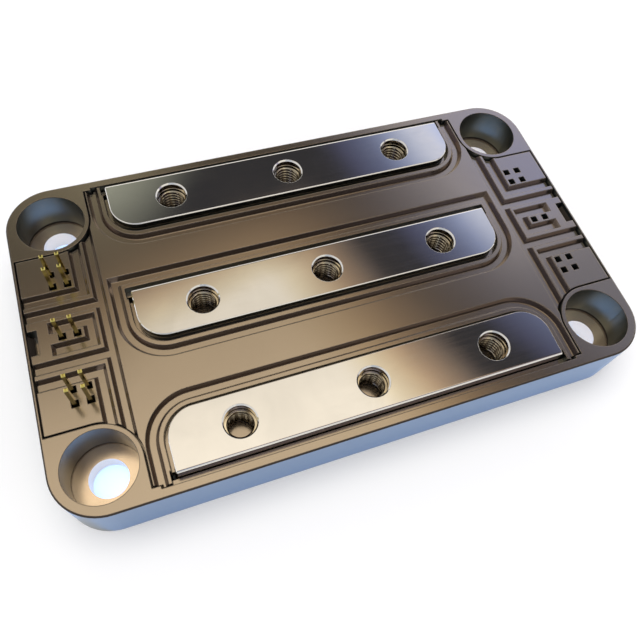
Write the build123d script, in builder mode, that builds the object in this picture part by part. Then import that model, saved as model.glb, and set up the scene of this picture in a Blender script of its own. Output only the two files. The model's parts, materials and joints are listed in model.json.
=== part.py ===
from build123d import *
import os

# Low-profile half-bridge power module, in millimetres, +Z up, origin at the bottom centre of its base.
# X is the long side. The control pins stand at the -X end and the front edge is at -Y.

# Housing: a moulded frame, open at the top and the bottom
length = 109.0
width = 64.0
height = 12.0
corner_radius = 8.5
housing_lift = 0.3
rim_chamfer = 0.25
cavity_end_wall = 3.0
cavity_side_wall = 2.5
cavity_corner_wall = 2.6

# Screw wells in the corners, for M6 screws, set back from both outer sides
well_setback = 8.0
mount_hole = 6.7
well_diameter = 12.15
well_wall = 0.8

# Baseplate
base_thickness = 4.0
base_chamfer = 0.3
skirt_wall = 1.5
base_seam = 0.15

# Lid: a cross in outline, flush with the rim, with a shoulder beside the ends of the side terminals
lid_end_rim = 0.5
lid_side_rim = 1.6
lid_shoulder = 0.5
lid_shoulder_setback = 15.8
lid_thickness = 3.2
lid_seam = 0.3
trench_depth = 1.0
trench_draft = 26.5
trench_run_out = 1.0
core_depth = 1.6
core_wall = 1.0
core_setback = 2.5

# Labyrinth at each end of the lid: trenches across it by distance from its end, and trenches
# along it by distance from the first row of pins, with the island round the middle pins.
# All trenches are measured at the top and their walls have a draft.
long_trench_setback = (14.15, 12.1)
short_trench_setback = (11.6, 9.4)
low_cross_setback = (6.21, 4.01)
high_cross_setback = (3.21, 0.96)
island_trench = (1.0, 3.25)
island_trench_setback = 3.7

# Snap hooks on the rim that hold the lid at each end
latch_slot_depth = 1.8
latch_slot_width = 4.7
latch_tongue = 0.8
hook_width = 3.9
hook_reach = 0.9
hook_drop = 0.8
hook_lip = 0.4
hook_gap = 0.1

# Power terminals: bars bent down along one long side
terminal_end_setback = 19.0
terminal_width = 10.35
terminal_thickness = 1.5
terminal_rise = 1.15
terminal_corner_radius = 5.0
terminal_edge_round = 0.15
side_terminal_setback = 2.85
middle_terminal_edge = 5.15
bend_radius = 0.45
bend_inner_radius = 0.3
leg_bottom = 8.0
screw_pitch = 23.7
screw_setback = 5.25
screw_hole = 5.5
screw_hole_chamfer = 0.25
countersink_angle = 90.0
foot_width = 6.0
outer_foot_setback = 4.0
side_foot_length = 4.5
middle_foot_length = 9.5

# Contour in the lid round each terminal
contour_gap = 0.7
contour_ridge = 0.8
contour_trench = 2.1
bend_side_gap = 1.25
gap_depth = 1.5
seat_inset = 0.1
seat_relief = 0.4
leg_clearance = 0.12
pocket_overhang = 0.95
pocket_setback = 1.05

# Hexagonal threaded inserts, M5, in blind bosses under the lid
insert_bore = 4.13
insert_flats = 6.2
insert_drop = 0.3
insert_chamfer = 0.3
boss_wall = 1.0
boss_floor = 0.5
boss_clearance = 0.1
screw_end_flats = 5.4
screw_end_room = 0.21

# Control pins on a 2.54 grid, placed from the end of the lid and from the row of screw wells
pin_size = 0.64
pin_point = 0.15
pin_rise = 6.25
pin_grid = 2.54
pin_end_setback = 8.28
pin_well_setback = 13.84
pin_hole = 1.25

# Gate board, on a shelf of the housing, and the plastic carriers of the pins under the lid
shelf_width = 2.0
board_thickness = 1.0
board_clearance = 0.2
board_length = 13.0
carrier_height = 1.5
carrier_margin = 1.27
carrier_clearance = 0.03
carrier_lid_gap = 0.3

# Substrates: solder, copper, ceramic and copper tracks
tile_overhang = 1.0
tile_near = 0.75
tile_far_setback = 0.1
solder_thickness = 0.12
copper_thickness = 0.3
ceramic_thickness = 0.32
copper_inset = 0.5
track_gap = 0.6
gate_track_width = 1.0
gate_track_overhang = 1.0
gate_stub_width = 1.2
gate_stub_y = 13.2
rear_split = 12.3
rear_gate_y = 19.5
front_split = 13.9
front_gate_y = 7.1

# Dies in a row on each substrate
die_size = 5.0
die_thickness = 0.18
die_end_setback = 6.25
die_count = 8
rear_die_y = 15.6
front_die_y = 10.8

# Ribbons and thin bonds
ribbon_width = 1.6
ribbon_thickness = 0.2
ribbon_pitch = 2.2
ribbon_foot = 1.2
ribbon_rise = 1.2
ribbon_setback = 0.8
ribbon_span = 5.6
bond_width = 0.35
bond_thickness = 0.15
bond_foot = 0.5
bond_rise = 0.4
gate_pad_setback = 0.5
board_bond_setback = 0.5
board_bond_margin = 1.0
board_bond_end_setback = 0.65
board_bond_rise = 0.5
arch_lean = 0.25

# Thermistor on two pads of its own
thermistor_setback = 1.1
thermistor_y = 10.9
thermistor_length = 1.6
thermistor_width = 0.8
thermistor_height = 0.6
thermistor_pad = 1.2
thermistor_pad_pitch = 2.0
thermistor_notch = 3.0

# Places in plan that follow from the sizes above
mount_pitch_x = length - 2 * well_setback
mount_pitch_y = width - 2 * well_setback
cavity_length = length - 2 * cavity_end_wall
cavity_width = width - 2 * cavity_side_wall
lid_length = length - 2 * lid_end_rim
lid_width = width - 2 * lid_side_rim
lid_shoulder_x = lid_length / 2 - lid_shoulder_setback
lid_shoulder_width = lid_width - 2 * lid_shoulder
terminal_length = length - 2 * terminal_end_setback
side_terminal_edge = width / 2 - side_terminal_setback
inner_foot_x = screw_pitch / 2
outer_foot_x = terminal_length / 2 - outer_foot_setback
core_half = terminal_length / 2 - core_setback
pin_first_x = lid_length / 2 - pin_end_setback
pin_first_y = mount_pitch_y / 2 - pin_well_setback
board_inner_x = cavity_length / 2 - board_length
long_trench = [lid_length / 2 - setback for setback in long_trench_setback]
short_trench = [lid_length / 2 - setback for setback in short_trench_setback]
low_cross_trench = [pin_first_y - setback for setback in low_cross_setback]
high_cross_trench = [pin_first_y - setback for setback in high_cross_setback]
island_trench_end = lid_length / 2 - island_trench_setback
tile_half = terminal_length / 2 + tile_overhang
tile_far = side_terminal_edge - tile_far_setback
boss_radius = well_diameter / 2 + well_wall
lid_waist_x = mount_pitch_x / 2 - boss_radius
lid_end_y = mount_pitch_y / 2 - boss_radius

# Heights that follow from the sizes above
lid_bottom = height - lid_thickness
gap_floor = height - gap_depth
hook_top = height - hook_drop
terminal_top = height + terminal_rise
terminal_seat = terminal_top - terminal_thickness
copper_bottom = base_thickness + solder_thickness
ceramic_bottom = copper_bottom + copper_thickness
track_bottom = ceramic_bottom + ceramic_thickness
track_top = track_bottom + copper_thickness
die_top = track_top + die_thickness
foot_top = track_top + terminal_thickness
boss_bottom = foot_top + boss_clearance
screw_end = boss_bottom + boss_floor
insert_bottom = screw_end + screw_end_room
insert_top = terminal_seat - insert_drop
board_top = lid_bottom - carrier_lid_gap - carrier_height
shelf_height = board_top - board_thickness

# Places on the substrates that follow from the sizes above
track_near = tile_near + copper_inset
track_far = tile_far - copper_inset
track_half = tile_half - copper_inset
track_edge = track_gap / 2
die_pitch = 2 * (track_half - die_end_setback) / (die_count - 1)
gate_track_end = track_half - die_end_setback + gate_track_overhang
thermistor_x = track_half - thermistor_setback
board_bond_x = track_half - board_bond_end_setback

# Name of each terminal, y of its bent side, the way that side faces, and the length of its feet
terminals = [
    ("rear", side_terminal_edge, 1, side_foot_length),
    ("middle", middle_terminal_edge, 1, middle_foot_length),
    ("front", -side_terminal_edge, -1, side_foot_length),
]
pin_groups = [("rear", [pin_first_y, pin_first_y + pin_grid]), ("middle", [0.0])]
pin_groups.append(("front", [-pin_first_y, -pin_first_y - pin_grid]))
pin_columns = [pin_first_x, pin_first_x + pin_grid]
screw_columns = [-screw_pitch, 0.0, screw_pitch]
foot_columns = [-outer_foot_x, -inner_foot_x, inner_foot_x, outer_foot_x]
die_columns = [die_pitch * (place - (die_count - 1) / 2) for place in range(die_count)]


def finish(part, name, colour):
    """Names a finished piece and writes it to its own file."""
    part.label = name
    part.color = Color(colour)
    export_step(part, "parts/" + name + ".step")


def bar(x_low, x_high, y_low, y_high, mode=Mode.ADD):
    """Adds a rectangle to the sketch by its limits, given in any order."""
    with Locations(((x_low + x_high) / 2, (y_low + y_high) / 2)):
        Rectangle(abs(x_high - x_low), abs(y_high - y_low), mode=mode)


def opening_plan(plan_length, plan_width, waist_x, end_y, wrap_radius):
    """A rectangle without its corners: each is cut by a land whose inner corner wraps the screw well."""
    land = (plan_length - 2 * waist_x, plan_width - 2 * end_y)
    with BuildSketch() as plan:
        Rectangle(plan_length, plan_width)
        with GridLocations(plan_length, plan_width, 2, 2):
            RectangleRounded(*land, wrap_radius, mode=Mode.SUBTRACT)
    return plan.sketch


def lid_plan(inset=0.0):
    """The lid's outline, with a shallow shoulder beside each end of the side terminals."""
    waist_x = lid_waist_x - inset
    end_y = lid_end_y - inset
    shoulder_x = lid_shoulder_x - inset
    shoulder_y = lid_shoulder_width / 2 - inset
    with BuildSketch() as plan:
        add(opening_plan(lid_length - 2 * inset, lid_width - 2 * inset, waist_x, end_y, boss_radius + inset))
        for way in (-1, 1):
            for side in (-1, 1):
                shoulder = (way * shoulder_x, way * lid_waist_x, side * shoulder_y, side * lid_width)
                bar(*shoulder, Mode.SUBTRACT)
    return plan.sketch


def terminal_plan(edge, side, grow, bend_grow, radius):
    """Plan of a terminal grown all round: square corners on its bent side, round ones on the other."""
    free_edge = edge - side * (terminal_width + grow)
    bent_edge = edge + side * bend_grow
    with BuildSketch() as plan:
        bar(-terminal_length / 2 - grow, terminal_length / 2 + grow, free_edge, bent_edge)
        fillet(plan.vertices().group_by(Axis.Y)[0 if side > 0 else -1], radius)
    return plan.sketch


def hexagons(flats, row_y):
    """Adds a hexagon on the axis of each screw in a row, with flats towards the row's long sides."""
    with Locations(*[(x, row_y) for x in screw_columns]):
        RegularPolygon(flats / 2, 6, major_radius=False)


def arch_profile(start, start_z, end, end_z, foot, rise, thickness):
    """Side view of a ribbon or bond: a flat foot at each end and a bent arch between them."""
    way = 1 if end > start else -1
    arch_start = start + way * foot / 2
    arch_end = end - way * foot / 2
    lean = (arch_end - arch_start) * arch_lean
    crown = max(start_z, end_z) + rise
    lower = [(start - way * foot / 2, start_z), (arch_start, start_z), (arch_start + lean, crown)]
    lower += [(arch_end - lean, crown), (arch_end, end_z), (end + way * foot / 2, end_z)]
    upper = [(place, z + thickness) for place, z in reversed(lower)]
    with BuildSketch() as profile:
        with BuildLine():
            Polyline(*lower, *upper, close=True)
        make_face()
    return profile.sketch


os.makedirs("parts", exist_ok=True)

# Housing: block, pocket for the base, cavity, recess for the lid, screw wells
with BuildPart() as housing:
    with BuildSketch(Plane.XY.offset(housing_lift)):
        RectangleRounded(length, width, corner_radius)
    extrude(amount=height - housing_lift)
    chamfer(housing.edges().group_by(Axis.Z)[-1], rim_chamfer)
    with BuildSketch(Plane.XY.offset(housing_lift)):
        RectangleRounded(length - 2 * skirt_wall, width - 2 * skirt_wall, corner_radius - skirt_wall)
    extrude(amount=base_thickness - housing_lift, mode=Mode.SUBTRACT)
    with BuildSketch(Plane.XY.offset(base_thickness)):
        wrap_radius = well_diameter / 2 + cavity_corner_wall
        waist_x = mount_pitch_x / 2 - wrap_radius
        end_y = mount_pitch_y / 2 - wrap_radius
        add(opening_plan(cavity_length, cavity_width, waist_x, end_y, wrap_radius))
    extrude(amount=height - base_thickness, mode=Mode.SUBTRACT)
    with BuildSketch(Plane.XY.offset(lid_bottom)):
        add(lid_plan())
    extrude(amount=lid_thickness, mode=Mode.SUBTRACT)
    with BuildSketch(Plane.XY.offset(base_thickness)):
        with GridLocations(mount_pitch_x, mount_pitch_y, 2, 2):
            Circle(well_diameter / 2)
    extrude(amount=height - base_thickness, mode=Mode.SUBTRACT)
    # U-shaped shelf that carries the gate board at the -X end
    with BuildSketch(Plane.XY.offset(base_thickness)):
        bar(-cavity_length / 2, -board_inner_x, -end_y, end_y)
        shelf_x = cavity_length / 2 - shelf_width
        bar(-shelf_x, -board_inner_x, shelf_width - end_y, end_y - shelf_width, Mode.SUBTRACT)
    extrude(amount=shelf_height - base_thickness)
    # Snap hooks, a wedge with a flat catch, inside the rim at both ends
    for way in (-1, 1):
        rim_x = way * lid_length / 2
        rim_back = way * (lid_length / 2 + hook_lip)
        catch_x = way * (lid_length / 2 - hook_reach)
        catch_z = lid_bottom + latch_tongue + hook_gap
        with BuildSketch(Plane.XZ):
            with BuildLine():
                wedge = [(rim_back, catch_z), (catch_x, catch_z), (catch_x, catch_z + hook_lip)]
                Polyline(*wedge, (rim_x, hook_top), (rim_back, hook_top), close=True)
            make_face()
        extrude(amount=hook_width / 2, both=True)
finish(housing.part, "housing", "dimgray")

# Baseplate under the whole housing, with the four screw holes
with BuildPart() as baseplate:
    with BuildSketch():
        base_inset = skirt_wall + base_seam
        RectangleRounded(length - 2 * base_inset, width - 2 * base_inset, corner_radius - base_inset)
    extrude(amount=base_thickness)
    chamfer(baseplate.edges().group_by(Axis.Z)[0], base_chamfer)
    with GridLocations(mount_pitch_x, mount_pitch_y, 2, 2):
        Hole(mount_hole / 2)
finish(baseplate.part, "baseplate", "silver")

# Lid: plate, end labyrinths, contours of the terminals, seats, insert bosses, slots and holes
with BuildPart() as lid:
    with BuildSketch(Plane.XY.offset(lid_bottom)):
        add(lid_plan(lid_seam))
    extrude(amount=lid_thickness)
    with BuildSketch(Plane.XY.offset(height)):
        for way in (-1, 1):
            inner, outer = way * short_trench[0], way * (lid_length / 2 + trench_run_out)
            bar(way * long_trench[0], way * long_trench[1], -mount_pitch_y / 2, mount_pitch_y / 2)
            bar(inner, way * short_trench[1], -island_trench[1], island_trench[1])
            for side in (-1, 1):
                bar(inner, way * short_trench[1], side * high_cross_trench[0], side * mount_pitch_y / 2)
                bar(inner, outer, side * high_cross_trench[0], side * high_cross_trench[1])
                bar(way * long_trench[0], outer, side * low_cross_trench[0], side * low_cross_trench[1])
                bar(inner, way * island_trench_end, side * island_trench[0], side * island_trench[1])
    extrude(amount=-trench_depth, taper=trench_draft, mode=Mode.SUBTRACT)
    for name, edge, side, foot in terminals:
        ridge_grow = contour_gap + contour_ridge
        ridge_bend = bend_side_gap + contour_ridge
        ridge_radius = terminal_corner_radius + ridge_grow
        trench_grow = ridge_grow + contour_trench
        trench_bend = ridge_bend + contour_trench
        with BuildSketch(Plane.XY.offset(height)):
            add(terminal_plan(edge, side, trench_grow, trench_bend, terminal_corner_radius + trench_grow))
            add(terminal_plan(edge, side, ridge_grow, ridge_bend, ridge_radius), mode=Mode.SUBTRACT)
        extrude(amount=-trench_depth, taper=trench_draft, mode=Mode.SUBTRACT)
        # Gap round the terminal, with a pocket beside each end of its bend
        pocket_half = terminal_length / 2 + pocket_overhang
        pocket_inner = edge - side * pocket_setback
        with BuildSketch(Plane.XY.offset(gap_floor)):
            gap_radius = terminal_corner_radius + contour_gap
            add(terminal_plan(edge, side, contour_gap, bend_side_gap, gap_radius))
            bar(-pocket_half, pocket_half, pocket_inner, edge + side * bend_side_gap)
        extrude(amount=gap_depth, mode=Mode.SUBTRACT)
        with BuildSketch(Plane.XY.offset(gap_floor)):
            seat_edge = -terminal_thickness - seat_relief
            add(terminal_plan(edge, side, -seat_inset, seat_edge, terminal_corner_radius - seat_inset))
        extrude(amount=terminal_seat - gap_floor)
        with BuildSketch(Plane.XY.offset(boss_bottom)):
            hexagons(insert_flats + 2 * boss_wall, edge - side * screw_setback)
        extrude(amount=gap_floor - boss_bottom)
        with BuildSketch(Plane.XY.offset(insert_bottom)):
            hexagons(insert_flats, edge - side * screw_setback)
        extrude(amount=height - insert_bottom, mode=Mode.SUBTRACT)
        with BuildSketch(Plane.XY.offset(screw_end)):
            hexagons(screw_end_flats, edge - side * screw_setback)
        extrude(amount=height - screw_end, mode=Mode.SUBTRACT)
        # Slot that the leg passes through, with both pockets
        with BuildSketch(Plane.XY.offset(boss_bottom)):
            slot_half = terminal_length / 2 + leg_clearance
            slot_inner = edge - side * (terminal_thickness + leg_clearance)
            slot_outer = edge + side * leg_clearance
            bar(-slot_half, slot_half, slot_inner, slot_outer)
            bar(-pocket_half, pocket_half, pocket_inner, slot_outer)
        extrude(amount=height - boss_bottom, mode=Mode.SUBTRACT)
    # Cored pockets under the two wide lands between the terminals
    land_low = middle_terminal_edge + bend_side_gap + contour_ridge + contour_trench
    land_high = side_terminal_edge - terminal_width - contour_gap - contour_ridge - contour_trench
    front_land = middle_terminal_edge - terminal_width - contour_gap - contour_ridge - contour_trench
    with BuildSketch(Plane.XY.offset(lid_bottom)):
        bar(-core_half, core_half, land_low + core_wall, land_high - core_wall)
        bar(-core_half, core_half, front_land - core_wall, core_wall - land_high)
    extrude(amount=core_depth, mode=Mode.SUBTRACT)
    # Pin holes at both ends
    with BuildSketch(Plane.XY.offset(lid_bottom)):
        for way in (-1, 1):
            for group, rows in pin_groups:
                with Locations(*[(way * x, y) for x in pin_columns for y in rows]):
                    Rectangle(pin_hole, pin_hole)
    extrude(amount=lid_thickness, mode=Mode.SUBTRACT)
    # Slots over the latch tongues
    with BuildSketch(Plane.XY.offset(lid_bottom + latch_tongue)):
        for way in (-1, 1):
            slot_x = way * (lid_length / 2 - latch_slot_depth)
            bar(slot_x, way * lid_length / 2, -latch_slot_width / 2, latch_slot_width / 2)
    extrude(amount=lid_thickness - latch_tongue, mode=Mode.SUBTRACT)
finish(lid.part, "lid", "gray")

# Terminals: a plate on the lid, one long side bent down to a leg, and four feet on the copper tracks
for name, edge, side, foot in terminals:
    leg_inner = edge - side * terminal_thickness
    with BuildPart() as terminal:
        with BuildSketch(Plane.YZ.offset(-terminal_length / 2)) as section:
            bar(edge - side * terminal_width, edge, terminal_seat, terminal_top)
            bar(leg_inner, edge, leg_bottom, terminal_top)
            fillet(section.vertices().sort_by_distance((edge, terminal_top, 0))[0], bend_radius)
            fillet(section.vertices().sort_by_distance((leg_inner, terminal_seat, 0))[0], bend_inner_radius)
        extrude(amount=terminal_length)
        for x in foot_columns:
            with BuildSketch(Plane.YZ.offset(x - foot_width / 2)) as section:
                bar(leg_inner, edge, track_top, leg_bottom)
                bar(edge - side * foot, edge, track_top, foot_top)
                fillet(section.vertices().sort_by_distance((edge, track_top, 0))[0], bend_radius)
                foot_corner = (leg_inner, foot_top, 0)
                fillet(section.vertices().sort_by_distance(foot_corner)[0], bend_inner_radius)
            extrude(amount=foot_width)
        plate_corners = terminal.edges().filter_by(Axis.Z).group_by(Axis.Z)[-1]
        fillet(plate_corners.group_by(Axis.Y)[0 if side > 0 else -1], terminal_corner_radius)
        rim_edges = terminal.faces().sort_by(Axis.Z)[-1].edges().sort_by(Axis.Y)
        chamfer(rim_edges[:-1] if side > 0 else rim_edges[1:], terminal_edge_round)
        screw_y = edge - side * screw_setback
        with Locations(*[(x, screw_y, terminal_top) for x in screw_columns]):
            screw_mouth = screw_hole / 2 + screw_hole_chamfer
            CounterSinkHole(screw_hole / 2, screw_mouth, terminal_thickness, countersink_angle)
    finish(terminal.part, "terminal_" + name, "goldenrod")

    # Three threaded inserts under the terminal, each with a countersunk mouth
    with BuildPart() as inserts:
        with BuildSketch(Plane.XY.offset(insert_bottom)):
            hexagons(insert_flats, screw_y)
        extrude(amount=insert_top - insert_bottom)
        with Locations(*[(x, screw_y, insert_top) for x in screw_columns]):
            insert_mouth = insert_bore / 2 + insert_chamfer
            CounterSinkHole(insert_bore / 2, insert_mouth, insert_top - insert_bottom, countersink_angle)
    finish(inserts.part, "inserts_" + name, "lightgray")

# Control pins, numbered from the rear, which stand on the gate board
number = 0
for group, rows in pin_groups:
    for y in sorted(rows, reverse=True):
        for x in pin_columns:
            number += 1
            with BuildPart() as pin:
                with BuildSketch(Plane.XY.offset(board_top)):
                    with Locations((-x, y)):
                        Rectangle(pin_size, pin_size)
                extrude(amount=height + pin_rise - board_top)
                chamfer(pin.edges().group_by(Axis.Z)[-1], pin_point)
            finish(pin.part, "control_pin_" + str(number), "gold")

# Gate board on the shelf
with BuildPart() as gate_board:
    with BuildSketch(Plane.XY.offset(shelf_height)):
        board_far = cavity_length / 2 - board_clearance
        board_half = end_y - board_clearance
        bar(-board_far, -board_inner_x, -board_half, board_half)
    extrude(amount=board_thickness)
finish(gate_board.part, "gate_board", "darkgreen")

# Plastic carriers that keep the pins of each group upright on the board
for group, rows in pin_groups:
    with BuildPart() as carrier:
        with BuildSketch(Plane.XY.offset(board_top)):
            x_limits = (-pin_columns[1] - carrier_margin, -pin_columns[0] + carrier_margin)
            bar(*x_limits, min(rows) - carrier_margin, max(rows) + carrier_margin)
            with Locations(*[(-x, y) for x in pin_columns for y in rows]):
                carrier_hole = pin_size + 2 * carrier_clearance
                Rectangle(carrier_hole, carrier_hole, mode=Mode.SUBTRACT)
        extrude(amount=carrier_height)
    finish(carrier.part, "pin_header_" + group, "black")

# Substrates: solder, lower copper and ceramic are plain layers
for name, side in (("rear", 1), ("front", -1)):
    layers = [
        ("solder_", base_thickness, solder_thickness, copper_inset, "lightgray"),
        ("substrate_copper_", copper_bottom, copper_thickness, copper_inset, "chocolate"),
        ("ceramic_", ceramic_bottom, ceramic_thickness, 0.0, "white"),
    ]
    for title, bottom, thickness, inset, colour in layers:
        with BuildPart() as layer:
            with BuildSketch(Plane.XY.offset(bottom)):
                layer_half = tile_half - inset
                bar(-layer_half, layer_half, side * (tile_near + inset), side * (tile_far - inset))
            extrude(amount=thickness)
        finish(layer.part, title + name, colour)

# Tracks on the rear substrate: phase track, drain track with a slot, and the gate track in that slot
gate_half = gate_track_width / 2
slot_half_width = gate_half + track_gap
stub_x = track_half - gate_stub_width
with BuildPart() as tracks_rear:
    with BuildSketch(Plane.XY.offset(track_bottom)):
        bar(-track_half, track_half, track_near, rear_split - track_edge)
        bar(-track_half, track_half, rear_split + track_edge, track_far)
        slot_x = gate_track_end + track_gap
        slot_limits = (rear_gate_y - slot_half_width, rear_gate_y + slot_half_width)
        bar(-track_half, slot_x, *slot_limits, Mode.SUBTRACT)
        bar(-track_half, track_gap - stub_x, rear_split, rear_gate_y, Mode.SUBTRACT)
        bar(-track_half, gate_track_end, rear_gate_y - gate_half, rear_gate_y + gate_half)
        bar(-track_half, -stub_x, gate_stub_y, rear_gate_y)
    extrude(amount=copper_thickness)
finish(tracks_rear.part, "tracks_rear", "chocolate")

# Tracks on the front substrate: phase track with the gate slot, source track, and the thermistor's pads
with BuildPart() as tracks_front:
    with BuildSketch(Plane.XY.offset(track_bottom)):
        bar(-track_half, track_half, -track_near, track_edge - front_split)
        bar(-track_half, track_half, -front_split - track_edge, -track_far)
        slot_limits = (-front_gate_y - slot_half_width, slot_half_width - front_gate_y)
        bar(-track_half, slot_x, *slot_limits, Mode.SUBTRACT)
        notch_x = track_half - thermistor_notch
        bar(-track_half, -notch_x, -front_gate_y, track_edge - front_split, Mode.SUBTRACT)
        bar(-track_half, gate_track_end, -front_gate_y - gate_half, gate_half - front_gate_y)
        with Locations((-thermistor_x, -thermistor_y)):
            with GridLocations(0, thermistor_pad_pitch, 1, 2):
                Rectangle(thermistor_pad, thermistor_pad)
    extrude(amount=copper_thickness)
finish(tracks_front.part, "tracks_front", "chocolate")

with BuildPart() as thermistor:
    with BuildSketch(Plane.XY.offset(track_top)):
        with Locations((-thermistor_x, -thermistor_y)):
            Rectangle(thermistor_width, thermistor_length)
    extrude(amount=thermistor_height)
finish(thermistor.part, "thermistor", "black")

# Dies, ribbons from their source pads towards -Y, and gate bonds towards +Y, on each substrate
for name, die_y, gate_y in (("rear", rear_die_y, rear_gate_y), ("front", -front_die_y, -front_gate_y)):
    with BuildPart() as dies:
        with BuildSketch(Plane.XY.offset(track_top)):
            with Locations(*[(x, die_y) for x in die_columns]):
                Rectangle(die_size, die_size)
        extrude(amount=die_thickness)
    finish(dies.part, "dies_" + name, "darkslategray")

    ribbon_start = die_y - ribbon_setback
    ribbon = (ribbon_start, die_top, ribbon_start - ribbon_span, track_top)
    ribbon_profile = arch_profile(*ribbon, ribbon_foot, ribbon_rise, ribbon_thickness)
    with BuildPart() as ribbons:
        for x in die_columns:
            for shift in (-ribbon_pitch / 2, ribbon_pitch / 2):
                with BuildSketch(Plane.YZ.offset(x + shift - ribbon_width / 2)):
                    add(ribbon_profile)
                extrude(amount=ribbon_width)
    finish(ribbons.part, "source_ribbons_" + name, "silver")

    gate_pad_y = die_y + die_size / 2 - gate_pad_setback
    bond_profile = arch_profile(gate_pad_y, die_top, gate_y, track_top, bond_foot, bond_rise, bond_thickness)
    with BuildPart() as gate_bonds:
        for x in die_columns:
            with BuildSketch(Plane.YZ.offset(x - bond_width / 2)):
                add(bond_profile)
            extrude(amount=bond_width)
    finish(gate_bonds.part, "gate_bonds_" + name, "silver")

# Thin bonds from the board's edge to the gate tracks, the phase track and the thermistor's pads
thermistor_pad_y = [-thermistor_y + way * thermistor_pad_pitch / 2 for way in (-1, 1)]
board_bond_y = [gate_stub_y + board_bond_margin, track_near + board_bond_margin, -front_gate_y]
board_bond_start = -board_inner_x - board_bond_setback
board_bond = (board_bond_start, board_top, -board_bond_x, track_top)
board_bond_profile = arch_profile(*board_bond, bond_foot, board_bond_rise, bond_thickness)
with BuildPart() as board_bonds:
    for y in board_bond_y + thermistor_pad_y:
        with BuildSketch(Plane.XZ.offset(-y)):
            add(board_bond_profile)
        extrude(amount=bond_width / 2, both=True)
finish(board_bonds.part, "board_bonds", "silver")
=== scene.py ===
import json
import math

import bmesh
import bpy
from mathutils import Matrix, Vector


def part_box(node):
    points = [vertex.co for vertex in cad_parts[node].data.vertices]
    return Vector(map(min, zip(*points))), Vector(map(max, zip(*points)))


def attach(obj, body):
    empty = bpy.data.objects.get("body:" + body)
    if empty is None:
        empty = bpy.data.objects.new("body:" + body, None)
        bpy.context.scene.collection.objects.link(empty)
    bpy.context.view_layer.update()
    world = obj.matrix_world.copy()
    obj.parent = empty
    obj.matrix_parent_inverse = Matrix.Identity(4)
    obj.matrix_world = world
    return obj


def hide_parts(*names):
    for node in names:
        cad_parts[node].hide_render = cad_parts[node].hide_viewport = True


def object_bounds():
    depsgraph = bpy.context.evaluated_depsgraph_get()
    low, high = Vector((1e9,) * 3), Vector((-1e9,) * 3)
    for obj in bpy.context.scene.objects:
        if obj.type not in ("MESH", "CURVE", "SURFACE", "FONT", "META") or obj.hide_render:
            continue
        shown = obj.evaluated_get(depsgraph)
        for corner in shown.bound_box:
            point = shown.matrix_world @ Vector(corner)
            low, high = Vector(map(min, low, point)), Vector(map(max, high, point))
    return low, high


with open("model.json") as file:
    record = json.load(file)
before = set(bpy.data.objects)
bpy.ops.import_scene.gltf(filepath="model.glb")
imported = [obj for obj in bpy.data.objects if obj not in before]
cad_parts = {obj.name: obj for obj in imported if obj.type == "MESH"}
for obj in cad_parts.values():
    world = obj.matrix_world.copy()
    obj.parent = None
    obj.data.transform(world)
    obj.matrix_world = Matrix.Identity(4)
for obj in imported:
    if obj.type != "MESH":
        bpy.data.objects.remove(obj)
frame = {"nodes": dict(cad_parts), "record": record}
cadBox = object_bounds()
nodes = frame["nodes"]
scene = bpy.context.scene
millimetre = 0.001
micrometre = 0.000001
print("frame loaded:", len(nodes), "nodes")


# Small helpers for node trees

# Adds a node; each input is a plain value or a socket to link from
def addNode(tree, kind, inputs=None, **settings):
    node = tree.nodes.new(kind)
    for key, value in settings.items():
        setattr(node, key, value)
    for key, value in (inputs or {}).items():
        if isinstance(value, bpy.types.NodeSocket):
            tree.links.new(value, node.inputs[key])
        else:
            node.inputs[key].default_value = value
    return node


def addMath(tree, operation, first, second=0.0, clamp=False):
    node = addNode(tree, "ShaderNodeMath", {0: first, 1: second}, operation=operation, use_clamp=clamp)
    return node.outputs[0]


# Spreads a value over a new range and stops at its ends; the limits may run downwards
def addRange(tree, value, fromMin, fromMax, toMin=0.0, toMax=1.0, smooth=True):
    kind = "SMOOTHSTEP" if smooth else "LINEAR"
    inputs = {"Value": value, "From Min": fromMin, "From Max": fromMax, "To Min": toMin, "To Max": toMax}
    return addNode(tree, "ShaderNodeMapRange", inputs, interpolation_type=kind).outputs["Result"]


def addMix(tree, factor, first, second, blend="MIX"):
    node = addNode(tree, "ShaderNodeMix", data_type="RGBA", blend_type=blend)
    for socket, value in ((node.inputs[0], factor), (node.inputs[6], first), (node.inputs[7], second)):
        if isinstance(value, bpy.types.NodeSocket):
            tree.links.new(value, socket)
        elif isinstance(value, float):
            socket.default_value = value
        else:
            socket.default_value = (*value, 1.0)
    return node.outputs[2]


# A colour ramp; stops is a list of (place, colour)
def addRamp(tree, factor, stops):
    node = addNode(tree, "ShaderNodeValToRGB", {"Fac": factor})
    ramp = node.color_ramp
    while len(ramp.elements) < len(stops):
        ramp.elements.new(0.5)  # its own place is set below
    for element, (place, colour) in zip(ramp.elements, stops):
        element.position = place
        element.color = (*colour, 1.0)
    return node.outputs["Color"]


def addNoise(tree, place, scale, detail, **inputs):
    inputs.update({"Vector": place, "Scale": scale, "Detail": detail})
    return addNode(tree, "ShaderNodeTexNoise", inputs).outputs["Fac"]


def addBump(tree, height, strength, distance, normal=None):
    inputs = {"Height": height, "Strength": strength, "Distance": distance}
    if normal is not None:
        inputs["Normal"] = normal
    return addNode(tree, "ShaderNodeBump", inputs).outputs["Normal"]


# Where a point of the surface lies, as X, Y and Z
def addPlaceParts(tree):
    place = addNode(tree, "ShaderNodeTexCoord").outputs["Object"]
    return addNode(tree, "ShaderNodeSeparateXYZ", {0: place}).outputs


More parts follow.
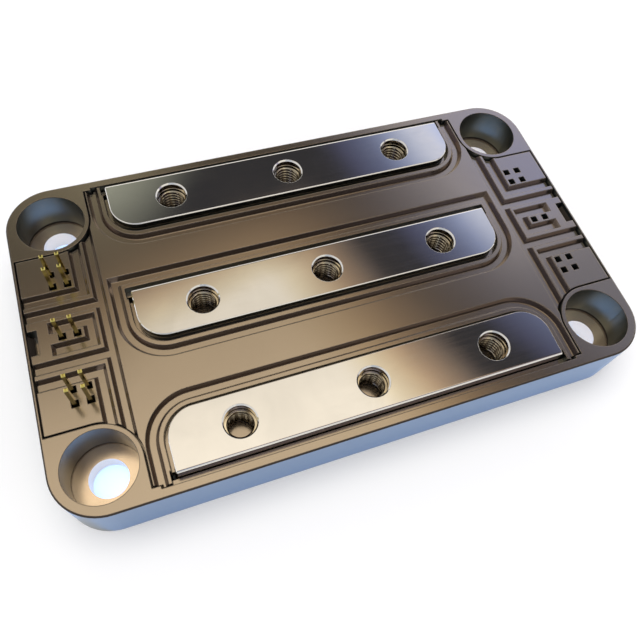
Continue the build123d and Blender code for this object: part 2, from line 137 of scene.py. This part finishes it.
# A shader node group; gives back the tree, its inputs and the sockets of its output node
def startGroup(name, inputs, outputs):
    tree = bpy.data.node_groups.new(name, "ShaderNodeTree")
    for title, kind, value in inputs:
        socket = tree.interface.new_socket(title, in_out="INPUT", socket_type=kind)
        socket.default_value = value
    for title, kind in outputs:
        tree.interface.new_socket(title, in_out="OUTPUT", socket_type=kind)
    return tree, tree.nodes.new("NodeGroupInput").outputs, tree.nodes.new("NodeGroupOutput").inputs


def useGroup(tree, group, **values):
    node = tree.nodes.new("ShaderNodeGroup")
    node.node_tree = group
    for key, value in values.items():
        node.inputs[key].default_value = value
    return node.outputs


def startMaterial(name):
    material = bpy.data.materials.new(name)
    material.use_nodes = True
    tree = material.node_tree
    return material, tree, tree.nodes["Principled BSDF"]


# Effects that several finishes share
grainNoise = {
    "detail": 3.0,
    "roughness": 0.6,
    "broadScale": 0.12,  # scale of a second, broader noise as a share of the first one's
    "broadDetail": 2.0,
    "valueRange": (0.3, 0.7),  # what lies between these is spread over 0 to 1
}


# Fine moulded or blasted grain: a height and a value from 0 to 1
def makeGrainGroup(noise):
    inputs = [("Size", "NodeSocketFloat", 0.4 * millimetre), ("Coarse", "NodeSocketFloat", 0.35)]
    outputs = [("Height", "NodeSocketFloat"), ("Value", "NodeSocketFloat")]
    tree, given, out = startGroup("moulded grain", inputs, outputs)
    place = addNode(tree, "ShaderNodeTexCoord").outputs["Object"]
    scale = addMath(tree, "DIVIDE", 1.0, given["Size"])
    fine = addNoise(tree, place, scale, noise["detail"], Roughness=noise["roughness"])
    broadScale = addMath(tree, "MULTIPLY", scale, noise["broadScale"])
    broad = addNoise(tree, place, broadScale, noise["broadDetail"])
    height = addMath(tree, "ADD", fine, addMath(tree, "MULTIPLY", broad, given["Coarse"]))
    tree.links.new(height, out["Height"])
    tree.links.new(addRange(tree, broad, *noise["valueRange"]), out["Value"])
    return tree


smudgeNoise = {
    "detail": 4.0,
    "distortion": 0.6,
    "middle": 0.5,  # of the noise and of the mask
    "gain": 4.0,  # of the mask at a contrast of 1
}


# Broad soft patches, as left by handling and plating: a value from 0 to 1
def makeSmudgeGroup(noise):
    inputs = [("Size", "NodeSocketFloat", 12 * millimetre), ("Contrast", "NodeSocketFloat", 0.5)]
    tree, given, out = startGroup("handling smudges", inputs, [("Mask", "NodeSocketFloat")])
    place = addNode(tree, "ShaderNodeTexCoord").outputs["Object"]
    scale = addMath(tree, "DIVIDE", 1.0, given["Size"])
    cloud = addNoise(tree, place, scale, noise["detail"], Distortion=noise["distortion"])
    centred = addMath(tree, "SUBTRACT", cloud, noise["middle"])
    spread = addMath(tree, "MULTIPLY", centred, given["Contrast"])
    raised = addMath(tree, "MULTIPLY", spread, noise["gain"])
    tree.links.new(addMath(tree, "ADD", raised, noise["middle"], clamp=True), out["Mask"])
    return tree


rolledNoise = {
    "detail": 3.0,
    "valueRange": (0.35, 0.65),  # what lies between these is spread over 0 to 1
}


# Faint drawn lines along X on plated copper bars: a height and a value from 0 to 1
def makeRolledGroup(noise):
    inputs = [("Pitch", "NodeSocketFloat", 0.25 * millimetre), ("Stretch", "NodeSocketFloat", 40.0)]
    outputs = [("Height", "NodeSocketFloat"), ("Value", "NodeSocketFloat")]
    tree, given, out = startGroup("rolled lines", inputs, outputs)
    parts = addPlaceParts(tree)
    along = addMath(tree, "DIVIDE", parts["X"], given["Stretch"])
    drawn = addNode(tree, "ShaderNodeCombineXYZ", {"X": along, "Y": parts["Y"], "Z": parts["Z"]})
    scale = addMath(tree, "DIVIDE", 1.0, given["Pitch"])
    lines = addNoise(tree, drawn.outputs[0], scale, noise["detail"])
    tree.links.new(lines, out["Height"])
    tree.links.new(addRange(tree, lines, *noise["valueRange"]), out["Value"])
    return tree


# Edges within a radius: a rounded normal and a mask that is 1 on the edge
def makeEdgeGroup(samples):
    inputs = [("Radius", "NodeSocketFloat", 0.12 * millimetre), ("Reach", "NodeSocketFloat", 0.2)]
    outputs = [("Normal", "NodeSocketVector"), ("Mask", "NodeSocketFloat")]
    tree, given, out = startGroup("soft edges", inputs, outputs)
    rounded = addNode(tree, "ShaderNodeBevel", {"Radius": given["Radius"]}, samples=samples).outputs[0]
    flat = addNode(tree, "ShaderNodeNewGeometry").outputs["Normal"]
    match = addNode(tree, "ShaderNodeVectorMath", {0: rounded, 1: flat}, operation="DOT_PRODUCT")
    away = addMath(tree, "SUBTRACT", 1.0, match.outputs["Value"], clamp=True)
    tree.links.new(addMath(tree, "DIVIDE", away, given["Reach"], clamp=True), out["Mask"])
    tree.links.new(rounded, out["Normal"])
    return tree


grainGroup = makeGrainGroup(grainNoise)
smudgeGroup = makeSmudgeGroup(smudgeNoise)
rolledGroup = makeRolledGroup(rolledNoise)
edgeGroup = makeEdgeGroup(samples=6)
print("shared effects ready")


# Moulded shell: a satin brown plastic with a metallic sheen, with painted shade: thin dark lines along
# its edges and darker, bluer walls.
# A slope is how level the surface lies: 1 is flat and 0 is upright
shellFinish = {
    "colour": (0.41, 0.335, 0.25),
    "deepColour": (0.37, 0.30, 0.222),
    "metallic": 0.95,
    "specular": 0.025,  # the sheen is the metallic share's, so the painted shade lines stay dark at low angles
    "roughness": (0.16, 0.19),
    "smudgeSize": 20 * millimetre,
    "smudgeContrast": 0.35,
    "grainSize": 0.22 * millimetre,
    "grainDepth": 3 * micrometre,
    "grainStrength": 0.5,
    "draftPaintedShade": (0.60, 0.60, 0.68),  # painted shade: drafted trench walls are darker than the top
    "draftSlopes": (0.75, 0.55),
    "wallPaintedShade": (0.34, 0.49, 0.66),  # painted shade: upright walls are darker, bluer and duller still
    "wallSlopes": (0.35, 0.20),
    "wallRoughness": 0.30,
    # painted shade: the dark lines along edges, chamfers and joints, and how strong and wide they are
    "edgeShadeColour": (0.03, 0.024, 0.02),
    "edgeAmount": 0.95,
    "edgeRadius": 0.22 * millimetre,
    "edgeReach": 0.10,
    "flattestChamfer": (0.96, 0.88),  # on a chamfer the dark line begins at the first slope of a pair
    "steepestChamfer": (0.52, 0.62),  # and is full at the second
    "wellSetback": 8 * millimetre,  # from the housing's sides to a screw well's axis
    "wellRadius": 6.075 * millimetre,
    "wellMargin": (0.3 * millimetre, 0.1 * millimetre),  # how far behind its wall the line fades out
    "jointHeight": 4.5 * millimetre,
    "jointBlur": 0.1 * millimetre,
}


# Painted shade: a thin dark line at the foot of each screw well, where the housing meets the base
def addWellFootShade(tree, finish):
    parts = addPlaceParts(tree)
    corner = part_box("housing")[1]
    squares = []
    for axis, reach in (("X", corner.x), ("Y", corner.y)):
        side = addMath(tree, "ABSOLUTE", parts[axis])
        offset = addMath(tree, "SUBTRACT", side, reach - finish["wellSetback"])
        squares.append(addMath(tree, "POWER", offset, 2.0))
    away = addMath(tree, "SQRT", addMath(tree, "ADD", *squares))
    outer, inner = finish["wellMargin"]
    inWell = addRange(tree, away, finish["wellRadius"] + outer, finish["wellRadius"] + inner)
    height, blur = finish["jointHeight"], finish["jointBlur"]
    foot = addRange(tree, parts["Z"], height + blur, height - blur)
    return addMath(tree, "MULTIPLY", inWell, foot)


# 1 where the shell gets painted shade lines: on its edges, chamfers and joints
def addPaintedEdgeShade(tree, finish, level, edgeMask):
    flatter = addRange(tree, level, *finish["flattestChamfer"])
    steeper = addRange(tree, level, *finish["steepestChamfer"])
    lined = addMath(tree, "MAXIMUM", edgeMask, addMath(tree, "MULTIPLY", flatter, steeper))
    lined = addMath(tree, "MAXIMUM", lined, addWellFootShade(tree, finish))
    return addMath(tree, "MULTIPLY", lined, finish["edgeAmount"])


def makeShellMaterial(name, finish):
    material, tree, shader = startMaterial(name)
    grain = useGroup(tree, grainGroup, Size=finish["grainSize"])
    smudge = useGroup(tree, smudgeGroup, Size=finish["smudgeSize"], Contrast=finish["smudgeContrast"])
    edge = useGroup(tree, edgeGroup, Radius=finish["edgeRadius"], Reach=finish["edgeReach"])
    facing = addNode(tree, "ShaderNodeTexCoord").outputs["Normal"]
    upward = addNode(tree, "ShaderNodeSeparateXYZ", {0: facing}).outputs["Z"]
    level = addMath(tree, "ABSOLUTE", upward)
    # painted shade: drafted and upright walls get a darker, bluer base colour by their slope
    sheer = addRange(tree, level, *finish["wallSlopes"])
    shade = addMix(tree, sheer, finish["draftPaintedShade"], finish["wallPaintedShade"])
    shade = addMix(tree, addRange(tree, level, *finish["draftSlopes"]), (1.0, 1.0, 1.0), shade)
    base = addMix(tree, smudge["Mask"], finish["deepColour"], finish["colour"])
    base = addMix(tree, 1.0, base, shade, "MULTIPLY")
    # painted shade: dark lines on edges, chamfers and at the foot of the wells
    lined = addPaintedEdgeShade(tree, finish, level, edge["Mask"])
    tree.links.new(addMix(tree, lined, base, finish["edgeShadeColour"]), shader.inputs["Base Color"])
    smooth, dull = finish["roughness"]
    rough = addRange(tree, smudge["Mask"], 0.0, 1.0, dull, smooth)
    rough = addMath(tree, "MAXIMUM", rough, addMath(tree, "MULTIPLY", sheer, finish["wallRoughness"]))
    tree.links.new(rough, shader.inputs["Roughness"])
    plain = addMath(tree, "SUBTRACT", 1.0, lined)
    tree.links.new(addMath(tree, "MULTIPLY", plain, finish["metallic"]), shader.inputs["Metallic"])
    shader.inputs["Specular IOR Level"].default_value = finish["specular"]
    normal = addBump(tree, grain["Height"], finish["grainStrength"], finish["grainDepth"], edge["Normal"])
    tree.links.new(normal, shader.inputs["Normal"])
    return material


# Polished nickel on the power terminals
nickelFinish = {
    "colour": (0.70, 0.675, 0.64),
    "dullColour": (0.62, 0.60, 0.57),
    "metallic": 1.0,
    "roughness": (0.04, 0.08),
    "smudgeSize": 9 * millimetre,
    "smudgeContrast": 0.5,
    "linePitch": 0.3 * millimetre,
    "lineDepth": 0.8 * micrometre,
    "lineStrength": 0.25,
    "lineRoughness": 0.02,
    "edgeRadius": 0.09 * millimetre,
}


def makeNickelMaterial(name, finish):
    material, tree, shader = startMaterial(name)
    lines = useGroup(tree, rolledGroup, Pitch=finish["linePitch"])
    smudge = useGroup(tree, smudgeGroup, Size=finish["smudgeSize"], Contrast=finish["smudgeContrast"])
    edge = useGroup(tree, edgeGroup, Radius=finish["edgeRadius"])
    tint = addMix(tree, smudge["Mask"], finish["dullColour"], finish["colour"])
    tree.links.new(tint, shader.inputs["Base Color"])
    smooth, dull = finish["roughness"]
    rough = addRange(tree, smudge["Mask"], 0.0, 1.0, dull, smooth)
    lineRough = addMath(tree, "MULTIPLY", lines["Value"], finish["lineRoughness"])
    rough = addMath(tree, "ADD", rough, lineRough)
    tree.links.new(rough, shader.inputs["Roughness"])
    shader.inputs["Metallic"].default_value = finish["metallic"]
    normal = addBump(tree, lines["Height"], finish["lineStrength"], finish["lineDepth"], edge["Normal"])
    tree.links.new(normal, shader.inputs["Normal"])
    return material


# Plain plated, cast or coated surfaces: one maker with a dictionary for each finish
plainFinishes = {
    "base_metal": {"colour": (0.88, 0.69, 0.49), "second": (0.84, 0.64, 0.44), "metallic": 0.84,
                   "roughness": (0.22, 0.25), "grain": 0.4 * millimetre, "depth": 0.6 * micrometre},
    "insert_metal": {"colour": (0.74, 0.65, 0.48), "second": (0.60, 0.50, 0.34), "metallic": 1.0,
                     "roughness": (0.12, 0.22), "grain": 0.3 * millimetre, "depth": 1 * micrometre,
                     "hollowShade": (0.035, 0.024, 0.014), "hollowRange": (0.49, 0.57)},
    "pin_gold": {"colour": (0.60, 0.50, 0.15), "second": (0.48, 0.39, 0.10), "metallic": 1.0,
                 "roughness": (0.12, 0.20), "grain": 0.2 * millimetre, "depth": 2 * micrometre},
    "board_laminate": {"colour": (0.04, 0.22, 0.10), "second": (0.03, 0.16, 0.07), "metallic": 0.0,
                       "roughness": (0.30, 0.42), "grain": 0.6 * millimetre, "depth": 10 * micrometre},
    "header_plastic": {"colour": (0.025, 0.025, 0.028), "second": (0.04, 0.04, 0.042), "metallic": 0.0,
                       "roughness": (0.42, 0.55), "grain": 0.2 * millimetre, "depth": 10 * micrometre},
    "solder_metal": {"colour": (0.58, 0.58, 0.60), "second": (0.46, 0.46, 0.48), "metallic": 1.0,
                     "roughness": (0.35, 0.55), "grain": 0.8 * millimetre, "depth": 20 * micrometre},
    "copper": {"colour": (0.80, 0.42, 0.26), "second": (0.66, 0.32, 0.19), "metallic": 1.0,
               "roughness": (0.28, 0.42), "grain": 0.4 * millimetre, "depth": 6 * micrometre},
    "substrate_ceramic": {"colour": (0.82, 0.81, 0.77), "second": (0.74, 0.73, 0.69), "metallic": 0.0,
                          "roughness": (0.55, 0.70), "grain": 0.2 * millimetre, "depth": 6 * micrometre},
    "die_body": {"colour": (0.20, 0.22, 0.26), "second": (0.14, 0.15, 0.19), "metallic": 0.6,
                 "roughness": (0.12, 0.22), "grain": 0.4 * millimetre, "depth": 2 * micrometre},
    "bond_metal": {"colour": (0.82, 0.82, 0.84), "second": (0.70, 0.70, 0.73), "metallic": 1.0,
                   "roughness": (0.18, 0.30), "grain": 0.2 * millimetre, "depth": 3 * micrometre},
    "thermistor_body": {"colour": (0.06, 0.06, 0.065), "second": (0.10, 0.10, 0.10), "metallic": 0.0,
                        "roughness": (0.45, 0.60), "grain": 0.2 * millimetre, "depth": 10 * micrometre},
}
plainTexture = {
    "smudgeSize": 6 * millimetre,
    "smudgeContrast": 0.6,
    "grainStrength": 0.4,
}


def makePlainMaterial(name, finish, texture):
    material, tree, shader = startMaterial(name)
    grain = useGroup(tree, grainGroup, Size=finish["grain"])
    smudge = useGroup(tree, smudgeGroup, Size=texture["smudgeSize"], Contrast=texture["smudgeContrast"])
    tint = addMix(tree, smudge["Mask"], finish["second"], finish["colour"])
    if "hollowShade" in finish:  # painted shade in recesses, such as the roots of a thread
        point = addNode(tree, "ShaderNodeNewGeometry").outputs["Pointiness"]
        tint = addMix(tree, addRange(tree, point, *finish["hollowRange"]), finish["hollowShade"], tint)
    tree.links.new(tint, shader.inputs["Base Color"])
    smooth, dull = finish["roughness"]
    tree.links.new(addRange(tree, grain["Value"], 0.0, 1.0, smooth, dull), shader.inputs["Roughness"])
    shader.inputs["Metallic"].default_value = finish["metallic"]
    normal = addBump(tree, grain["Height"], texture["grainStrength"], finish["depth"])
    tree.links.new(normal, shader.inputs["Normal"])
    return material


materials = {}
for name, finish in plainFinishes.items():
    materials[name] = makePlainMaterial(name, finish, plainTexture)
materials["housing_plastic"] = makeShellMaterial("housing_plastic", shellFinish)
materials["lid_plastic"] = makeShellMaterial("lid_plastic", shellFinish)
materials["terminal_metal"] = makeNickelMaterial("terminal_metal", nickelFinish)

slotOfNode = {row["node"]: row["material_slot"] for row in frame["record"]["subparts"]}
for nodeName, piece in nodes.items():
    piece.data.materials.clear()
    piece.data.materials.append(materials[slotOfNode[nodeName]])
print("materials ready:", len(materials))


# Threaded inserts: hexagonal blocks with a cut thread, three under each terminal
insertSizes = {
    "boreRadius": 2.065 * millimetre,  # at the crests of the thread
    "pitch": 0.8 * millimetre,
    "depth": 0.42 * millimetre,  # radial depth of the thread
    "flatShare": 0.12,  # share of the pitch that is flat at a crest, and again at a root
    "mouthDepth": 0.3 * millimetre,
    "chamfer": 0.25 * millimetre,  # round the hexagon's top and bottom
    "sharpAngle": 40,  # in degrees; flatter edges are shaded smooth
    "turnSteps": 72,
    "pitchSteps": 12,
}


# Wall radius of the bore at an angle and height; the mouth is countersunk at 45 degrees
def threadRadius(sizes, angle, height, mouthHeight):
    phase = (height / sizes["pitch"] - angle / math.tau) % 1.0
    flank = 1.0 - abs(2.0 * phase - 1.0)  # 0 at a crest, 1 at a root
    flat = sizes["flatShare"]
    groove = min(max((flank - flat) / (1.0 - 2.0 * flat), 0.0), 1.0)
    radius = sizes["boreRadius"] + sizes["depth"] * groove
    return max(radius, sizes["boreRadius"] + sizes["mouthDepth"] - mouthHeight)


# One hexagonal insert: rings of points from the mouth, over the block and up the threaded bore
def buildInsert(mesh, sizes, centre, bottom, top, flats):
    steps = sizes["turnSteps"]
    rows = round((top - bottom) / sizes["pitch"] * sizes["pitchSteps"])
    chamfer = sizes["chamfer"]
    sector = math.pi / 3  # one side of the hexagon

    def addRing(radiusAt, height):
        ring = []
        for step in range(steps):
            angle = math.tau * step / steps
            radius = radiusAt(angle)
            point = (centre.x + radius * math.cos(angle), centre.y + radius * math.sin(angle), height)
            ring.append(mesh.verts.new(point))
        return ring

    def hexagon(shrink):
        apothem = flats / 2 - shrink
        return lambda angle: apothem / math.cos((angle - sector / 2) % sector - sector / 2)

    def bore(height):
        return lambda angle: threadRadius(sizes, angle, height, top - height)

    rings = [addRing(hexagon(chamfer), top), addRing(hexagon(0.0), top - chamfer)]
    rings += [addRing(hexagon(0.0), bottom + chamfer), addRing(hexagon(chamfer), bottom)]
    for row in range(rows + 1):
        height = bottom + (top - bottom) * row / rows
        rings.append(addRing(bore(height), height))
    rings.append(rings[0])
    for lower, upper in zip(rings, rings[1:]):
        for step in range(steps):
            after = (step + 1) % steps
            mesh.faces.new((lower[step], lower[after], upper[after], upper[step]))


# All three inserts of one terminal, in place of their plain solids
def makeInserts(row, sizes):
    low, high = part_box("inserts_" + row)
    flats = high.y - low.y
    corners = flats / math.cos(math.pi / 6)  # a hexagon's corners point along X
    spacing = (high.x - low.x - corners) / 2
    mesh = bmesh.new()
    for place in (-spacing, 0.0, spacing):
        centre = Vector(((low.x + high.x) / 2 + place, (low.y + high.y) / 2, 0.0))
        buildInsert(mesh, sizes, centre, low.z, high.z, flats)
    bmesh.ops.recalc_face_normals(mesh, faces=mesh.faces)
    data = bpy.data.meshes.new("threaded_inserts_" + row)
    mesh.to_mesh(data)
    mesh.free()
    piece = bpy.data.objects.new("threaded_inserts_" + row, data)
    scene.collection.objects.link(piece)
    data.shade_smooth()
    data.set_sharp_from_angle(angle=math.radians(sizes["sharpAngle"]))
    data.materials.append(materials["insert_metal"])
    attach(piece, "root")
    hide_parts("inserts_" + row)


for row in ("rear", "middle", "front"):
    makeInserts(row, insertSizes)
print("threaded inserts made")


# Studio sky: soft panels, each in its own direction, which the plated bars mirror.
# A fade is (axis, start, full): along the axis, a panel begins at start and is whole at full
toRight = (1.0, 0.0, 0.0)
toRear = (0.0, 1.0, 0.0)
toTop = (0.0, 0.0, 1.0)
skyPanels = {
    "shade": (0.045, 0.044, 0.048),  # between the panels
    "warm": {
        "fadeRight": ((0.898, 0.44, 0.0), 0.507, 0.370),
        "fadeRear": ((-0.15, 1.0, 0.0), 0.562, 0.455),
        "fadeFront": (toRear, -0.12, 0.08),
        "stops": [
            (0.0, (0.0, 0.0, 0.0)), (0.12, (0.12, 0.09, 0.07)), (0.38, (0.42, 0.28, 0.17)),
            (0.52, (0.62, 0.46, 0.28)), (0.76, (0.86, 0.74, 0.52)), (1.0, (1.02, 0.94, 0.80)),
        ],
        "boost": 0.30,  # how much brighter it is at its near end
        "boostFade": (toRear, 0.42, 0.26),
    },
    "dimCorner": {  # the warm and the olive panel are darker at the left and rear
        "amount": 0.6,
        "fadeLeft": (toRight, 0.0, -0.16),
        "fadeRear": (toRear, 0.36, 0.48),
    },
    "cool": {
        "fadeLeft": ((0.88, 0.475, 0.0), 0.555, 0.755),
        "fadeFront": (toRear, 0.34, 0.46),
        "frontPlace": 0.34,  # the place on its ramp where it stops towards the front
        "stops": [
            (0.0, (0.0, 0.0, 0.0)), (0.10, (0.05, 0.055, 0.12)), (0.24, (0.12, 0.145, 0.27)),
            (0.34, (0.28, 0.34, 0.56)), (0.44, (0.62, 0.68, 0.88)), (0.54, (0.86, 0.89, 1.05)),
            (0.63, (0.62, 0.76, 1.25)), (0.73, (0.44, 0.60, 1.38)), (1.0, (0.42, 0.60, 1.45)),
        ],
    },
    "olive": {
        "fade": ((-0.10, 0.74, 0.664), 0.965, 0.998),
        "colour": (0.50, 0.52, 0.41),
    },
    "front": {
        "fadeRear": (toRear, -0.12, -0.64),
        "whole": 0.3,  # from this place on its ramp it hides the other panels
        "stops": [
            (0.0, (0.0, 0.0, 0.0)), (0.40, (0.46, 0.43, 0.58)),
            (0.62, (0.50, 0.47, 0.62)), (0.85, (1.12, 1.10, 1.03)),
        ],
        "leftTint": (0.62, 0.68, 0.80),
        "fadeLeft": (toRight, 0.10, -0.05),
    },
    "left": {
        "fade": (toRight, -0.40, -0.70),
        "colour": (0.95, 0.95, 0.95),
    },
    "rearHorizon": {
        "fadeDown": (toTop, 0.65, 0.58),
        "fadeRear": ((0.707, 0.707, 0.0), 0.30, 0.60),
        "colour": (1.60, 1.57, 1.48),
    },
    "horizon": {
        "fade": (toTop, 0.40, 0.28),
        "colour": (1.02, 1.02, 1.02),
    },
}


def addFade(tree, direction, fade, low=0.0, high=1.0, smooth=True):
    axis, start, full = fade
    along = addNode(tree, "ShaderNodeVectorMath", {0: direction, 1: axis}, operation="DOT_PRODUCT")
    return addRange(tree, along.outputs["Value"], start, full, low, high, smooth)


# How much of the light is kept in the dim corner
def addDimming(tree, direction, corner):
    leftward = addFade(tree, direction, corner["fadeLeft"])
    rearward = addFade(tree, direction, corner["fadeRear"])
    lost = addMath(tree, "MULTIPLY", addMath(tree, "MULTIPLY", leftward, rearward), corner["amount"])
    return addMath(tree, "SUBTRACT", 1.0, lost)


def addWarmPanel(tree, direction, panel, kept):
    across = addFade(tree, direction, panel["fadeRight"], smooth=False)
    deep = addFade(tree, direction, panel["fadeRear"], smooth=False)
    near = addFade(tree, direction, panel["fadeFront"])
    place = addMath(tree, "MULTIPLY", addMath(tree, "MULTIPLY", across, deep), near)
    boost = addFade(tree, direction, panel["boostFade"], 1.0, 1.0 + panel["boost"])
    boost = addMath(tree, "MULTIPLY", boost, kept)
    return addMix(tree, 1.0, addRamp(tree, place, panel["stops"]), boost, "MULTIPLY")


def addCoolPanel(tree, direction, panel):
    across = addFade(tree, direction, panel["fadeLeft"], smooth=False)
    near = addFade(tree, direction, panel["fadeFront"], panel["frontPlace"], 1.0)
    return addRamp(tree, addMath(tree, "MINIMUM", across, near), panel["stops"])


def addOlivePanel(tree, direction, panel, kept):
    mask = addMath(tree, "MULTIPLY", addFade(tree, direction, panel["fade"]), kept)
    return addMix(tree, mask, (0.0, 0.0, 0.0), panel["colour"])


# The front panel hides the colour that is there already
def coverFront(tree, direction, panel, colour):
    deep = addFade(tree, direction, panel["fadeRear"], smooth=False)
    tint = addMix(tree, addFade(tree, direction, panel["fadeLeft"]), (1.0, 1.0, 1.0), panel["leftTint"])
    front = addMix(tree, 1.0, addRamp(tree, deep, panel["stops"]), tint, "MULTIPLY")
    return addMix(tree, addRange(tree, deep, 0.0, panel["whole"]), colour, front)


def makeSky(panels):
    world = bpy.data.worlds.new("studio sky")
    world.use_nodes = True
    tree = world.node_tree
    direction = addNode(tree, "ShaderNodeTexCoord").outputs["Generated"]
    kept = addDimming(tree, direction, panels["dimCorner"])
    warm = addWarmPanel(tree, direction, panels["warm"], kept)
    cool = addCoolPanel(tree, direction, panels["cool"])
    olive = addOlivePanel(tree, direction, panels["olive"], kept)
    colour = addMix(tree, 1.0, panels["shade"], warm, "ADD")
    colour = addMix(tree, 1.0, colour, cool, "ADD")
    colour = addMix(tree, 1.0, colour, olive, "ADD")
    colour = coverFront(tree, direction, panels["front"], colour)
    left = panels["left"]
    colour = addMix(tree, addFade(tree, direction, left["fade"]), colour, left["colour"])
    rear = panels["rearHorizon"]
    rearDown = addFade(tree, direction, rear["fadeDown"])
    rearMask = addMath(tree, "MULTIPLY", rearDown, addFade(tree, direction, rear["fadeRear"]))
    colour = addMix(tree, rearMask, colour, rear["colour"])
    horizon = panels["horizon"]
    colour = addMix(tree, addFade(tree, direction, horizon["fade"]), colour, horizon["colour"])
    tree.links.new(colour, tree.nodes["Background"].inputs["Color"])
    scene.world = world


# Lamps; a lamp's energy is its level times pi and its area
lampValues = {
    "softbox": {"size": 0.8, "place": (-0.10, 0.05, 0.95), "level": 1.8},
    "kicker": {
        "colour": (0.0, 0.30, 1.0),
        "level": 0.64,
        "width": 12 * millimetre,
        "height": 0.2 * millimetre,
        "gap": -0.2 * millimetre,  # from the module's side; below 0 the strip starts inside it
    },
}


def makeLamp(name, size, level, colour=(1.0, 1.0, 1.0)):
    data = bpy.data.lights.new(name, "AREA")
    data.shape = "RECTANGLE"
    data.size, data.size_y = size
    data.color = colour
    data.energy = level * math.pi * data.size * data.size_y
    lamp = bpy.data.objects.new(name, data)
    lamp.visible_camera = False
    scene.collection.objects.link(lamp)
    return lamp


# A large soft lamp high above, for the floor and the dull surfaces; gloss doesn't mirror it
def makeSoftbox(values):
    lamp = makeLamp("softbox", (values["size"], values["size"]), values["level"])
    lamp.location = values["place"]
    lamp.rotation_euler = Vector(values["place"]).to_track_quat("Z", "Y").to_euler()
    lamp.visible_glossy = False


# Low blue strips along the front and the left edge: they face up, so only the walls show them
def makeKickers(values):
    low, high = cadBox
    width, gap = values["width"], values["gap"]
    reach = gap + width
    strips = [
        ("front_kicker", (high[0] - low[0] + 2 * reach, width), (0.0, low[1] - gap - width / 2)),
        ("left_kicker", (width, high[1] - low[1]), (low[0] - gap - width / 2, 0.0)),
    ]
    for name, size, place in strips:
        lamp = makeLamp(name, size, values["level"], values["colour"])
        lamp.location = (*place, values["height"])
        lamp.rotation_euler = (math.pi, 0.0, 0.0)


# Floor: pale, with a glow that shows to the camera and in reflections but lights nothing else
floorLook = {
    "size": 12.0,
    "colour": (0.90, 0.91, 0.93),
    "roughness": 0.9,
    "specular": 0.0,
    "nearGlow": (0.12, 0.12, 0.12),
    "farGlow": (0.95, 0.95, 0.95),
    "farReach": (0.12, 0.9),  # the distances between which the near glow turns into the far one
    "underGlow": (0.42, 0.72, 1.38),  # under the module, where its screw holes show the floor
    "underInset": (2 * millimetre, 4 * millimetre),  # where it starts and is full, from the sides
}


# 1 under the module, 0 outside it
def addUnderMask(tree, look):
    parts = addPlaceParts(tree)
    start, full = look["underInset"]
    inside = 1.0
    for axis, reach in (("X", cadBox[1][0]), ("Y", cadBox[1][1])):
        away = addMath(tree, "ABSOLUTE", parts[axis])
        inside = addMath(tree, "MULTIPLY", inside, addRange(tree, away, reach - start, reach - full))
    return inside


def makeFloorMaterial(look):
    material, tree, shader = startMaterial("studio floor")
    shader.inputs["Base Color"].default_value = (*look["colour"], 1.0)
    shader.inputs["Roughness"].default_value = look["roughness"]
    shader.inputs["Specular IOR Level"].default_value = look["specular"]
    rays = addNode(tree, "ShaderNodeLightPath").outputs
    seen = addMath(tree, "ADD", rays["Is Camera Ray"], rays["Is Glossy Ray"])
    seen = addMath(tree, "ADD", seen, rays["Is Transmission Ray"], clamp=True)
    place = addNode(tree, "ShaderNodeTexCoord").outputs["Object"]
    away = addNode(tree, "ShaderNodeVectorMath", {0: place}, operation="LENGTH").outputs["Value"]
    glow = addMix(tree, addRange(tree, away, *look["farReach"]), look["nearGlow"], look["farGlow"])
    glow = addMix(tree, addUnderMask(tree, look), glow, look["underGlow"])
    light = addNode(tree, "ShaderNodeEmission", {"Color": glow, "Strength": seen})
    both = addNode(tree, "ShaderNodeAddShader", {0: shader.outputs[0], 1: light.outputs[0]})
    tree.links.new(both.outputs[0], tree.nodes["Material Output"].inputs["Surface"])
    return material


def makeFloor(look):
    half = look["size"] / 2
    corners = [(-half, -half, 0), (half, -half, 0), (half, half, 0), (-half, half, 0)]
    data = bpy.data.meshes.new("studio_floor")
    data.from_pydata(corners, [], [(0, 1, 2, 3)])
    data.materials.append(makeFloorMaterial(look))
    floor = bpy.data.objects.new("studio_floor", data)
    scene.collection.objects.link(floor)


makeSky(skyPanels)
makeSoftbox(lampValues["softbox"])
makeKickers(lampValues["kicker"])
makeFloor(floorLook)


# Camera at the photograph's viewing angle
cameraValues = {
    "location": (-0.03198, -0.05619, 0.11317),
    "looksAlong": (0.23789, 0.40675, -0.88202),
    "upward": (0.25093, 0.85152, 0.46037),
    "lens": 35.64,
    "sensor": 36.0,
    "nearest": 0.005,
    "farthest": 50.0,
}


def makeCamera(values):
    data = bpy.data.cameras.new("photo_camera")
    data.lens = values["lens"]
    data.sensor_width = values["sensor"]
    data.clip_start = values["nearest"]
    data.clip_end = values["farthest"]
    camera = bpy.data.objects.new("photo_camera", data)
    scene.collection.objects.link(camera)
    back = -Vector(values["looksAlong"]).normalized()
    right = Vector(values["upward"]).cross(back).normalized()
    upward = back.cross(right)
    turn = Matrix((right, upward, back)).transposed().to_4x4()
    camera.matrix_world = Matrix.Translation(values["location"]) @ turn
    scene.camera = camera


makeCamera(cameraValues)
scene.view_settings.view_transform = "Standard"
print("studio and camera ready")
